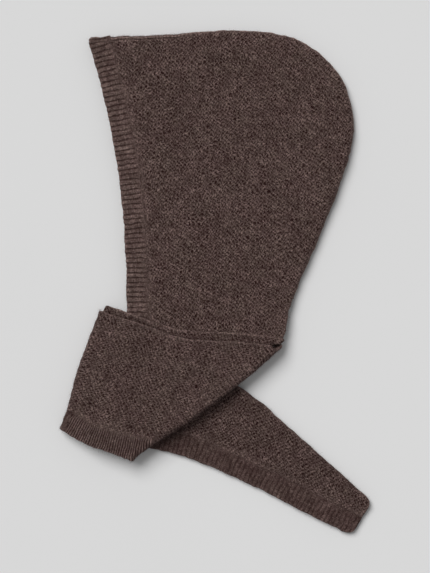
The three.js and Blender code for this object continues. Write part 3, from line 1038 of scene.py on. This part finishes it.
class Shader:
    """A material's nodes. Inputs are given by place or by name, as numbers, colours or Values."""

    def __init__(self, name, **fixed):
        self.material = bpy.data.materials.new(name)
        self.material.use_nodes = True
        self.tree = self.material.node_tree
        self.surface = self.tree.nodes["Principled BSDF"]
        for label, value in fixed.items():
            self.surface.inputs[label.replace("_", " ")].default_value = value

    def set(self, socket, value):
        if isinstance(value, Value):
            self.tree.links.new(value.socket, socket)
        else:
            socket.default_value = value

    def node(self, kind, settings=None, inputs=(), output=0):
        node = self.tree.nodes.new(kind)
        for label, value in (settings or {}).items():
            setattr(node, label, value)
        pairs = inputs.items() if isinstance(inputs, dict) else enumerate(inputs)
        for label, value in pairs:
            self.set(node.inputs[label], value)
        return Value(self, node.outputs[output])

    def parts(self, vector):
        """The three parts of a vector or a colour."""
        first = self.node("ShaderNodeSeparateXYZ", {}, [vector])
        return [Value(self, socket) for socket in first.socket.node.outputs]

    def attribute(self, name):
        return self.parts(self.node("ShaderNodeAttribute", {"attribute_name": name}, output="Vector"))

    def noise(self, vector, scale, detail, roughness, output="Fac"):
        inputs = {"Vector": vector, "Scale": scale, "Detail": detail, "Roughness": roughness}
        return self.node("ShaderNodeTexNoise", {}, inputs, output)

    def swing(self, vector, noise):
        """A noise that swings about nothing, by up to a half each way."""
        return self.noise(vector, *noise) - 0.5

    def vector(self, x, y):
        return self.node("ShaderNodeCombineXYZ", {}, [x, y])

    def range(self, value, low, high, to_low=0.0, to_high=1.0, smooth=False):
        settings = {"interpolation_type": "SMOOTHSTEP" if smooth else "LINEAR", "clamp": True}
        inputs = {"Value": value, "From Min": low, "From Max": high, "To Min": to_low, "To Max": to_high}
        return self.node("ShaderNodeMapRange", settings, inputs, "Result")

    def mix(self, share, a, b, blend="MIX"):
        """Two colours mixed. Sockets 0, 6 and 7 are the node's factor and colours, and 2 is its result."""
        settings = {"data_type": "RGBA", "blend_type": blend}
        return self.node("ShaderNodeMix", settings, {0: share, 6: a, 7: b}, 2)

    def bump(self, height, distance):
        return self.node("ShaderNodeBump", {}, {"Distance": distance, "Height": height})

    def finish(self, **inputs):
        for label, value in inputs.items():
            self.set(self.surface.inputs[label.replace("_", " ")], value)
        return self.material


# The wool's unevenness, as noises: cells to a millimetre, octaves and roughness
TUFTS = (0.62, 5.0, 0.9)
GRAIN = (0.75, 1.0, 0.6)
FLECKS = (0.27, 1.0, 0.5)
MOTTLE = (0.11, 2.0, 0.6)
LOOSENESS = (0.1, 2.0, 0.6)
BROAD = (0.03, 1.0, 0.5)
HUES = (0.04, 2.0, 0.5)
QUICK_WARP = (0.3, 2.0, 0.5)
SLOW_WARP = (0.03, 2.0, 0.5)

BROAD_AMOUNT = 0.6
EDGE_HIGHLIGHT = 0.3  # free edges are this much lighter, a painted highlight where the rolled edge catches the light
EDGE_LIGHT_WIDTH = 5.0
BRIGHTEST = 4.0  # the top of the scale of tones, as a share of the yarn's mean colour
DARK_RED = 0.2  # the red that stays in the darkest gaps, as a share of the yarn's green
COOL_TINT = (0.97, 1.01, 0.98, 1.0)
NO_TINT = (1.0, 1.0, 1.0, 1.0)

# How far the rows and columns of stitches wander, in millimetres over a noise's whole range
QUICK_PUSH = 5.6
SLOW_PUSH = 14.0

# Painted shade in the gaps between stitches is deeper than the painted highlight on their crowns, and the
# whole is lifted to the yarn's tone.
PIT_SHADE_DEPTH = 0.4
PIT_LIFT = 0.12

# A plain stitch: how steeply its legs rise, and how much columns, legs and the crossings between stitches
# each add to its height
LEG_RISE = 0.85
COLUMN_PART = 0.15
LEG_PART = 0.35
CROSSING_PART = 0.25

# Tufts of wool: their part in the tone and in the height of plain knitting and of ribbing
TUFT_TONE = 2.0
TUFT_HEIGHT = 3.6
RIB_TUFT_TONE = 1.8
RIB_TUFT_HEIGHT = 2.4

# In the ribbing the furrows wander a little, and each rib's stitches do so more.
FURROW_WANDER = 0.25
FURROW_START = 0.24  # from a rib's middle, in ribs
RIB_LEG_WANDER = 9.0
RIB_LEG_SAG = 2.0  # the stitches hang back in the furrows


def shade(colour, share):
    return (*(channel * share for channel in colour[:3]), 1.0)


def yarn_colour(shader, place, looks, relief, edge):
    """Heathered brown wool: painted shade and highlight from the relief and at free edges, the wool's own
    light and dark, and slow changes of hue.
    """
    tone = (
        relief
        + shader.swing(place, GRAIN) * looks.grain
        + shader.swing(place, FLECKS) * looks.fleck
        + shader.swing(place, MOTTLE) * looks.mottle
        + shader.swing(place, BROAD) * BROAD_AMOUNT
        + shader.range(edge, EDGE_LIGHT_WIDTH, 0.0, 0.0, EDGE_HIGHLIGHT)
    )
    red, green, blue = (BRIGHTEST * channel for channel in looks.yarn)
    dark = DARK_RED * looks.yarn[1]
    lightest = (red - (BRIGHTEST - 1) * dark, green, blue, 1.0)
    colour = shader.mix(shader.range(tone.math("EXPONENT"), 0.0, BRIGHTEST), (dark, 0.0, 0.0, 1.0), lightest)
    hue = shader.range(shader.noise(place, *HUES), 0.38, 0.62)
    return shader.mix(1.0, colour, shader.mix(hue, COOL_TINT, NO_TINT), "MULTIPLY")


def warped(shader, place, along_x, along_y):
    """Two coordinates pushed about a little, slowly over the cloth and quickly within a few stitches."""
    slow = shader.parts(shader.noise(place, *SLOW_WARP, output="Color"))
    quick = shader.parts(shader.noise(place, *QUICK_WARP, output="Color"))
    shifts = [(slow[i] - 0.5) * SLOW_PUSH + (quick[i] - 0.5) * QUICK_PUSH for i in (0, 1)]
    return along_x + shifts[0], along_y + shifts[1]


def body_material(looks):
    """Plain knitting: columns of stitches, each stitch a V of two rounded legs, under a brushed nap."""
    shader = Shader("brushed_knit", Roughness=0.95, Specular_IOR_Level=0.1)
    u, v, light = shader.attribute("knit_place")
    edge, join, _ = shader.attribute("knit_edges")
    place = shader.vector(u, v)
    u, v = warped(shader, place, u, v)
    lean = math.radians(looks.course_lean)
    across = u * (1 / looks.stitch_width)
    up = (v * math.cos(lean) - u * math.sin(lean)) * (1 / looks.stitch_height)
    from_middle = across.math("PINGPONG", 0.5) * 2.0
    columns = across.wave() * 0.5 + 0.5
    legs = (up - from_middle * LEG_RISE).wave() * 0.5 + 0.5
    crossings = across.wave() * up.wave()

    # The stitches lie flatter beside the ribbing and at free edges, and looser in some places than in others.
    depth = shader.range(join, 2.0, 9.0, 0.45, 1.0) * shader.range(edge, 0.5, 4.5, 0.35, 1.0)
    depth = depth * shader.range(shader.noise(place, *LOOSENESS), 0.35, 0.65, 0.55, 1.45)
    height = columns * COLUMN_PART + legs * LEG_PART + crossings * CROSSING_PART
    stitches = (height - (COLUMN_PART + LEG_PART) / 2) * depth
    tufts = shader.swing(place, TUFTS)
    # The stitches' height is painted into the colour, as shade in the gaps and highlight on the crowns, with
    # the tufts' own light and dark and a lighter strip beside the join.
    loops = stitches * looks.stitch_contrast + tufts * TUFT_TONE
    relief = loops - loops * loops * PIT_SHADE_DEPTH + PIT_LIFT + shader.range(join, 8.0, 3.0, 0.0, 0.2) + light
    colour = yarn_colour(shader, place, looks, relief, edge)
    normal = shader.bump(stitches + tufts * TUFT_HEIGHT, looks.relief)
    return shader.finish(Base_Color=colour, Normal=normal)


def rib_material(looks):
    """Plain stitches stacked in each rib, with painted shade in the furrow between ribs."""
    shader = Shader("ribbed_knit", Roughness=0.95, Specular_IOR_Level=0.1)
    turns, across, light = shader.attribute("knit_place")
    edge, join, dark = shader.attribute("knit_edges")
    place = shader.vector(turns * RIB_PITCH, across)
    quick = shader.swing(place, QUICK_WARP)
    from_crest = (turns + quick * FURROW_WANDER).math("PINGPONG", 0.5)
    furrow = shader.range(from_crest, FURROW_START, 0.5, smooth=True)
    furrow = furrow * shader.range(join, 0.0, 5.0, 0.15, 1.0) * dark
    turned = across * (2 * math.pi / looks.stitch_height) + furrow * RIB_LEG_SAG + quick * RIB_LEG_WANDER
    legs = turned.math("SINE") * 0.5
    tufts = shader.swing(place, TUFTS)
    # The tone holds painted shade in the furrows, painted shade and highlight along the stitches' legs, the
    # ribbing's lightness and the wool's own tufts.
    relief = light - furrow * looks.furrow_contrast + legs * 0.15 + tufts * RIB_TUFT_TONE
    colour = yarn_colour(shader, place, looks, relief, edge)
    normal = shader.bump(legs * 0.25 - furrow + tufts * RIB_TUFT_HEIGHT, looks.relief)
    return shader.finish(Base_Color=colour, Normal=normal)


def mottled_material(name, base, roughness, scale, low, high, spread):
    """One colour with darker and lighter places, between a low and a high share of it.

    The scale counts places to a metre. The colour changes over the noise's middle, by the spread each way.
    """
    shader = Shader(name, Roughness=roughness)
    place = shader.node("ShaderNodeTexCoord", output="Object")
    tone = shader.range(shader.noise(place, scale, 2.0, 0.5), 0.5 - spread, 0.5 + spread)
    return shader.finish(Base_Color=shader.mix(tone, shade(base, low), shade(base, high)))


# Nap

FIBRE_WIDEST = 0.4  # how far along a fibre it is widest
FLOOR_CLEARANCE = 0.0002
REST_HEIGHT = 0.003  # cloth that faces down below this height lies on the floor and has no nap
SIDE_SHARE = 0.84  # of the fibres, those on the plain knit
EDGE_CROWDING = 3.0  # fibres stand this much closer near a free edge


def spindle():
    """One straight fibre along +X, one long and thin, as points and triangles."""
    shape = bmesh.new()
    bmesh.ops.create_cone(
        shape, cap_ends=True, cap_tris=True, segments=3, radius1=1.0, radius2=0.0, depth=1.0
    )
    bmesh.ops.remove_doubles(shape, verts=shape.verts, dist=1e-5)
    shape.verts.index_update()
    points = np.array([vertex.co[:] for vertex in shape.verts])
    faces = np.array([[vertex.index for vertex in face.verts] for face in shape.faces])
    shape.free()
    on_ring = np.hypot(points[:, 0], points[:, 1]) > 0.5
    return np.c_[np.where(on_ring, FIBRE_WIDEST, points[:, 2] + 0.5), points[:, :2]], faces


def fibre_mesh(name, roots, normals, looks, seed):
    """Fibres that lean over at random from their roots, as one mesh."""
    rng = np.random.default_rng(seed)
    count = len(roots)
    side = unit(np.cross(normals, unit(rng.normal(size=(count, 3)))))
    rise = rng.uniform(0.1, 1.0, (count, 1)) ** 2
    way = unit(side + normals * rise * 0.7)
    way[:, 2] = np.maximum(way[:, 2], (FLOOR_CLEARANCE - roots[:, 2]) / looks.nap_length)
    other = unit(np.cross(way, unit(rng.normal(size=(count, 3)))))
    third = np.cross(way, other)
    length = looks.nap_length * rng.uniform(0.4, 1.0, (count, 1))
    radius = looks.nap_radius * rng.uniform(0.7, 1.2, (count, 1))
    points, faces = spindle()
    arms = np.stack([way * length, other * radius, third * radius], 1)
    places = roots[:, None] + points @ arms
    mesh = bpy.data.meshes.new(name)
    mesh.vertices.add(count * len(points))
    mesh.vertices.foreach_set("co", places.ravel())
    triangles = (faces + len(points) * np.arange(count)[:, None, None]).ravel()
    mesh.loops.add(len(triangles))
    mesh.loops.foreach_set("vertex_index", triangles)
    mesh.polygons.add(count * len(faces))
    mesh.polygons.foreach_set("loop_start", np.arange(0, len(triangles), 3))
    mesh.update(calc_edges=True)
    return mesh


def scattered(lay, swell, count, seed):
    """Roots and outward directions of fibres, spread evenly over a sheet's outer face."""
    _, out, _, _, edges = lay
    points = faces_of(lay, swell)[0]
    a, b, c = points[:-1, :-1], points[1:, :-1], points[:-1, 1:]
    area = np.linalg.norm(np.cross(b - a, c - a), axis=-1)
    resting = (out[:-1, :-1, 2] < -0.5) & (points[:-1, :-1, 2] < REST_HEIGHT)
    area = np.where(resting, 0, area) * np.where(edges[:-1, :-1, 0] < 3, EDGE_CROWDING, 1.0)
    area = area.ravel()
    rng = np.random.default_rng(seed)
    cells = rng.choice(len(area), count, p=area / area.sum())
    row, place = np.divmod(cells, points.shape[1] - 1)
    s, t = rng.random((2, count, 1))
    roots = (
        points[row, place] * (1 - s) * (1 - t)
        + points[row + 1, place] * s * (1 - t)
        + points[row, place + 1] * (1 - s) * t
        + points[row + 1, place + 1] * s * t
    )
    return roots, unit(out[row, place])


# Settings and steps


def colour_setting(name, description, default):
    return bpy.props.FloatVectorProperty(
        name=name, description=description, default=default, subtype="COLOR", min=0.0, max=1.0
    )


def setting(name, description, default, lowest=0.0, **more):
    return bpy.props.FloatProperty(
        name=name, description=description, default=default, min=lowest, **more
    )


class KnitLooks(bpy.types.PropertyGroup):
    """Sizes and colours of the knit. Sizes are millimetres, unless they are shown as lengths."""

    yarn: colour_setting("Yarn", "Mean colour of the wool", (0.18, 0.1125, 0.1015))
    nap: colour_setting("Nap", "Colour of the loose fibres", (0.2, 0.13, 0.117))
    floor: colour_setting("Floor", "Colour of the plain floor", (0.78, 0.78, 0.78))
    stitch_width: setting("Stitch Width", "From one column of stitches to the next", 3.95, lowest=1.0)
    stitch_height: setting("Stitch Height", "From one row of stitches to the next", 4.3, lowest=1.0)
    course_lean: setting("Course Lean", "Slope of the rows of stitches, in degrees", 14.0, lowest=-90.0)
    relief: setting("Relief", "Depth of the stitches", 0.0024, unit="LENGTH")
    # These two set painted shade: in the gaps between stitches, and in the ribbing's furrows.
    stitch_contrast: setting("Stitch Contrast", "Darkness of the gaps between stitches", 3.2)
    furrow_contrast: setting("Furrow Contrast", "Darkness of the ribbing's furrows", 0.9)
    grain: setting("Grain", "Light and dark of single tufts of wool", 2.9)
    fleck: setting("Fleck", "Light and dark over two or three stitches", 1.6)
    mottle: setting("Mottle", "Light and dark over broad patches", 1.6)
    rib_depth: setting("Rib Depth", "Depth of the furrows on each face of the ribbing", 0.75, max=1.2)
    swell: setting("Swell", "Rise and fall of the laid cloth", 2.0)
    nap_length: setting("Nap Length", "Longest loose fibre", 0.0055, unit="LENGTH")
    nap_radius: setting("Nap Radius", "Radius of a loose fibre", 0.00004, unit="LENGTH")
    nap_count: bpy.props.IntProperty(
        name="Nap Fibres", description="Loose fibres on each half", default=24000, min=0
    )


class HOOD_OT_sides(bpy.types.Operator):
    """Build the two knit sides with their tails"""

    bl_idname = "hood.sides"
    bl_label = "Knit Sides"

    def execute(self, context):
        looks = context.scene.hood_looks
        material = body_material(looks)
        for name, half in HALVES.items():
            lay = panel_lay(half)
            piece = sheet_piece("knit_side_" + name, lay, looks.swell, material)
            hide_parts("hood_panel_" + name)
        return {"FINISHED"}


class HOOD_OT_ribbing(bpy.types.Operator):
    """Build the ribbing along the face edge and the tails"""

    bl_idname = "hood.ribbing"
    bl_label = "Ribbing"

    def execute(self, context):
        looks = context.scene.hood_looks
        material = rib_material(looks)
        for name, half in HALVES.items():
            lay = band_lay(half, looks.rib_depth)
            piece = sheet_piece("ribbing_" + name, lay, looks.swell, material)
            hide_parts("rib_band_" + name)
        return {"FINISHED"}


class HOOD_OT_seam(bpy.types.Operator):
    """Build the linked seam along the crown and the back"""

    bl_idname = "hood.seam"
    bl_label = "Seam"

    def execute(self, context):
        looks = context.scene.hood_looks
        mesh = welded("linked_seam", [seam_grid(looks)])
        piece = placed("linked_seam", mesh, bpy.data.materials["ribbed_knit"])
        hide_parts("centre_seam")
        return {"FINISHED"}


class HOOD_OT_nap(bpy.types.Operator):
    """Build the loose fibres on the wool"""

    bl_idname = "hood.nap"
    bl_label = "Nap"

    def execute(self, context):
        looks = context.scene.hood_looks
        material = mottled_material("wool_nap", looks.nap, 0.8, 900.0, 0.6, 1.35, 0.15)
        for seed, (name, half) in enumerate(HALVES.items()):
            on_side = int(looks.nap_count * SIDE_SHARE)
            sides = scattered(panel_lay(half), looks.swell, on_side, 11 + seed)
            on_band = looks.nap_count - on_side
            bands = scattered(band_lay(half, looks.rib_depth), looks.swell, on_band, 21 + seed)
            roots = np.vstack([sides[0], bands[0]])
            normals = np.vstack([sides[1], bands[1]])
            mesh = fibre_mesh("wool_nap_" + name, roots, normals, looks, 31 + seed)
            placed("wool_nap_" + name, mesh, material)
        return {"FINISHED"}


# Stage

FLOOR_REACH = 4.0
KEY_ENERGY = 2.39
KEY_SPREAD = math.radians(38)
KEY_WAY = (0.9, -1.1, -1.72)  # the way that its light goes
SKY_STRENGTH = 0.29
SENSOR = 36.0
CAMERA_DISTANCE = 1.8
SCALE_HEIGHT = 0.01  # the photo's scale holds at this height, about that of the hood's upper side

# The photo's frame in metres: its height, and its middle in the frame of the part
PHOTO_PIXELS = (430, 573)
NECK_PIXEL = (127, 340)
PIXEL = 1.05 * MM
FRAME_HEIGHT = PHOTO_PIXELS[1] * PIXEL
FRAME_CENTRE = (
    (PHOTO_PIXELS[0] / 2 - NECK_PIXEL[0]) * PIXEL + ORIGIN[0] * MM,
    (NECK_PIXEL[1] - PHOTO_PIXELS[1] / 2) * PIXEL + ORIGIN[1] * MM,
)


class HOOD_OT_stage(bpy.types.Operator):
    """Build the floor, the lights and the camera"""

    bl_idname = "hood.stage"
    bl_label = "Stage"

    def execute(self, context):
        scene = context.scene
        mesh = flat_grid("floor", 1, 1, FLOOR_REACH)
        colour = scene.hood_looks.floor
        mesh.materials.append(mottled_material("plain_floor", colour, 0.9, 4.0, 0.99, 1.01, 0.5))
        floor = linked("floor", mesh)

        key = bpy.data.lights.new("key_light", "SUN")
        key.energy = KEY_ENERGY
        key.angle = KEY_SPREAD
        key_lamp = linked("key_light", key)
        key_lamp.location = -Vector(KEY_WAY)
        key_lamp.rotation_mode = "QUATERNION"
        key_lamp.rotation_quaternion = Vector(KEY_WAY).to_track_quat("-Z", "Y")
        world = bpy.data.worlds.new("soft_world")
        scene.world = world
        world.use_nodes = True
        world.node_tree.nodes["Background"].inputs["Color"].default_value = (1.0, 1.0, 1.0, 1.0)
        world.node_tree.nodes["Background"].inputs["Strength"].default_value = SKY_STRENGTH

        camera_data = bpy.data.cameras.new("camera")
        camera_data.sensor_fit = "AUTO"
        camera_data.sensor_width = SENSOR
        camera_data.lens = SENSOR * CAMERA_DISTANCE / FRAME_HEIGHT
        camera_data.clip_end = 20.0
        camera = linked("camera", camera_data)
        camera.location = (*FRAME_CENTRE, CAMERA_DISTANCE + SCALE_HEIGHT)
        scene.camera = camera
        scene.view_settings.view_transform = "Standard"
        return {"FINISHED"}


OPERATORS = (HOOD_OT_sides, HOOD_OT_ribbing, HOOD_OT_seam, HOOD_OT_nap, HOOD_OT_stage)


class HOOD_PT_panel(bpy.types.Panel):
    """Steps that build the knit hood"""

    bl_idname = "HOOD_PT_panel"
    bl_label = "Knit Hood"
    bl_space_type = "VIEW_3D"
    bl_region_type = "UI"
    bl_category = "Knit Hood"

    def draw(self, context):
        looks = context.scene.hood_looks
        for name in looks.__annotations__:
            self.layout.prop(looks, name)
        for operator in OPERATORS:
            self.layout.operator(operator.bl_idname)


CLASSES = (KnitLooks, *OPERATORS, HOOD_PT_panel)


def register():
    for cls in CLASSES:
        bpy.utils.register_class(cls)
    bpy.types.Scene.hood_looks = bpy.props.PointerProperty(type=KnitLooks)


def unregister():
    del bpy.types.Scene.hood_looks
    for cls in reversed(CLASSES):
        bpy.utils.unregister_class(cls)


def main():
    register()
    bpy.ops.hood.sides()
    bpy.ops.hood.ribbing()
    bpy.ops.hood.seam()
    bpy.ops.hood.nap()
    bpy.ops.hood.stage()


if __name__ == "__main__":
    main()
